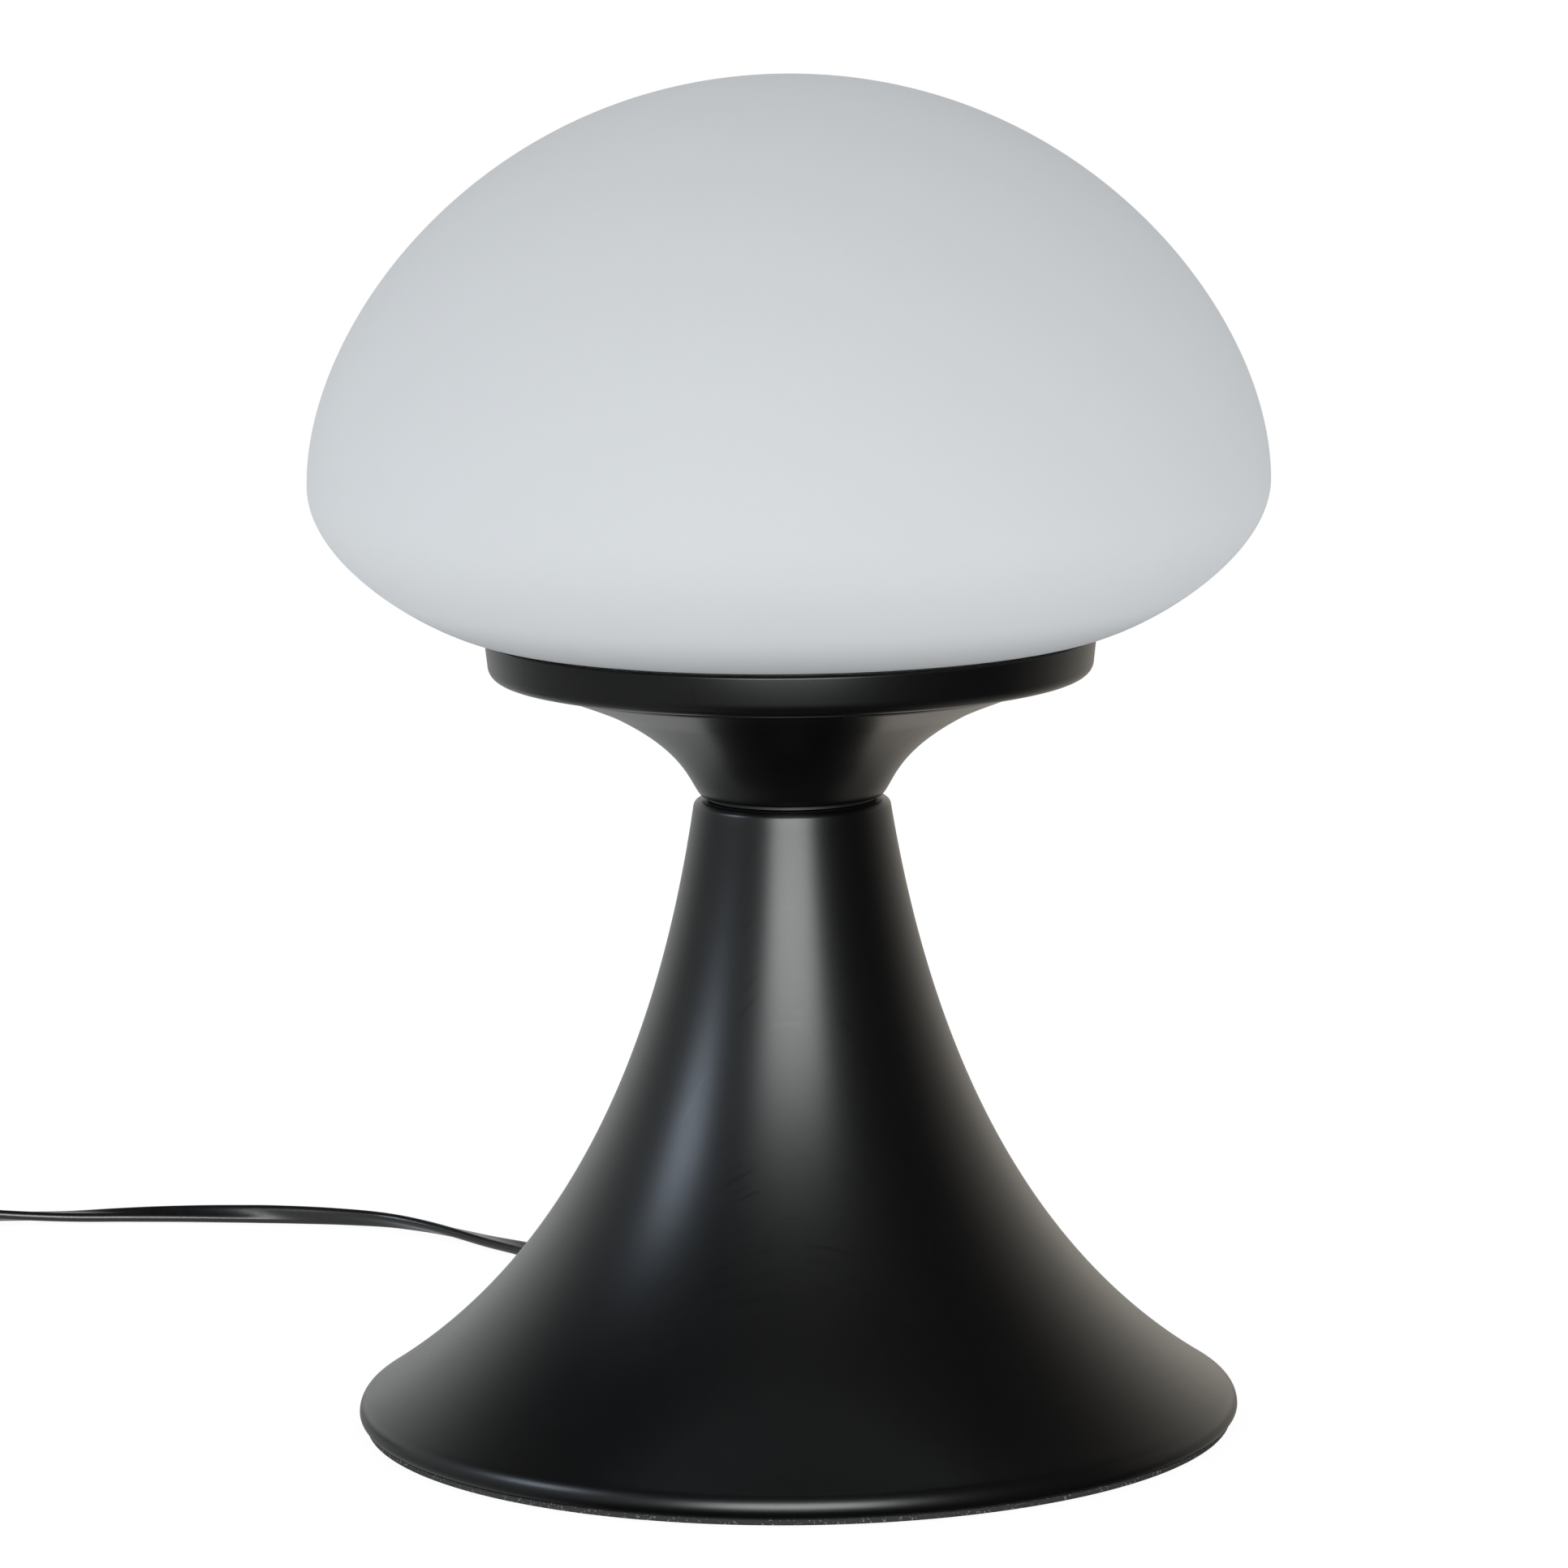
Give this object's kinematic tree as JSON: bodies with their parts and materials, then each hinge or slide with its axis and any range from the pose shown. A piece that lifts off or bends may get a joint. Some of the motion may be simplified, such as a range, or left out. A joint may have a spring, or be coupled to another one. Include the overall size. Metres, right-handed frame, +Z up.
{
  "type": "table lamp",
  "caption": "Touch table lamp: an opal mushroom shade rests in a shallow collar on a flared neck above a trumpet-shaped metal base, with a flat lead that ends in a wall adapter",
  "frame": {"origin": "on the table under the middle of the foot", "axes": "+Z up along the lamp's axis, -Y towards the viewer, +X to the viewer's right; the lead leaves at the back and lies to the left"},
  "size_m": [0.3899, 0.3179, 0.3],
  "materials": {
    "shade_glass": "satin opal, translucent",
    "body_paint": "satin black",
    "spacer_plastic": "matt black",
    "pad_foam": "dark speckled foam",
    "plate_steel": "raw rolled steel",
    "zinc_steel": "zinc plated",
    "terminal_brass": "plain",
    "gasket_rubber": "soft grey",
    "carrier_aluminium": "plain pressed",
    "light_board": "white lacquered board",
    "module_plastic": "moulded grey",
    "circuit_board": "green lacquered board",
    "wire_vinyl": "soft red",
    "lead_vinyl": "soft black",
    "bush_rubber": "matt black",
    "adapter_plastic": "fine-grained black",
    "blade_brass": "plain"
  },
  "bodies": {
    "stand": {"collar": "body_paint", "neck_flare": "body_paint", "neck_spacer": "spacer_plastic", "base_shell": "body_paint", "foot_pad": "pad_foam", "foot_plate": "plate_steel", "base_weight": "plate_steel", "weight_screw_1": "zinc_steel", "weight_screw_2": "zinc_steel", "weight_screw_3": "zinc_steel", "nipple": "zinc_steel", "nipple_washer_low": "zinc_steel", "nipple_washer_top": "zinc_steel", "nipple_nut_low": "zinc_steel", "nipple_nut_top": "zinc_steel", "star_washer": "zinc_steel", "ring_terminal": "terminal_brass", "shade_gasket": "gasket_rubber", "shade_clip_1": "zinc_steel", "shade_clip_2": "zinc_steel", "shade_clip_3": "zinc_steel", "led_carrier": "carrier_aluminium", "carrier_screw_1": "zinc_steel", "carrier_screw_2": "zinc_steel", "carrier_screw_3": "zinc_steel", "led_board": "light_board", "board_screw_1": "zinc_steel", "board_screw_2": "zinc_steel", "module_tape": "pad_foam", "module_tray": "module_plastic", "module_board": "circuit_board", "module_lid": "module_plastic", "sensor_wire": "wire_vinyl", "led_lead": "lead_vinyl", "supply_lead": "lead_vinyl", "lead_clip": "zinc_steel", "lead_clip_screw": "zinc_steel", "cord_bush": "bush_rubber", "cord_free": "lead_vinyl", "cord_coil": "lead_vinyl", "coil_tie": "gasket_rubber", "adapter_relief": "bush_rubber", "adapter_cover": "adapter_plastic", "adapter_case": "adapter_plastic", "adapter_blade_1": "blade_brass", "adapter_blade_2": "blade_brass"},
    "shade": {"glass_shade": "shade_glass"}
  },
  "joints": [
    {"name": "shade_lift", "type": "slide", "parent": "stand", "child": "shade", "axis": [0, 0, 1], "range_m": [0, 0.14]}
  ]
}
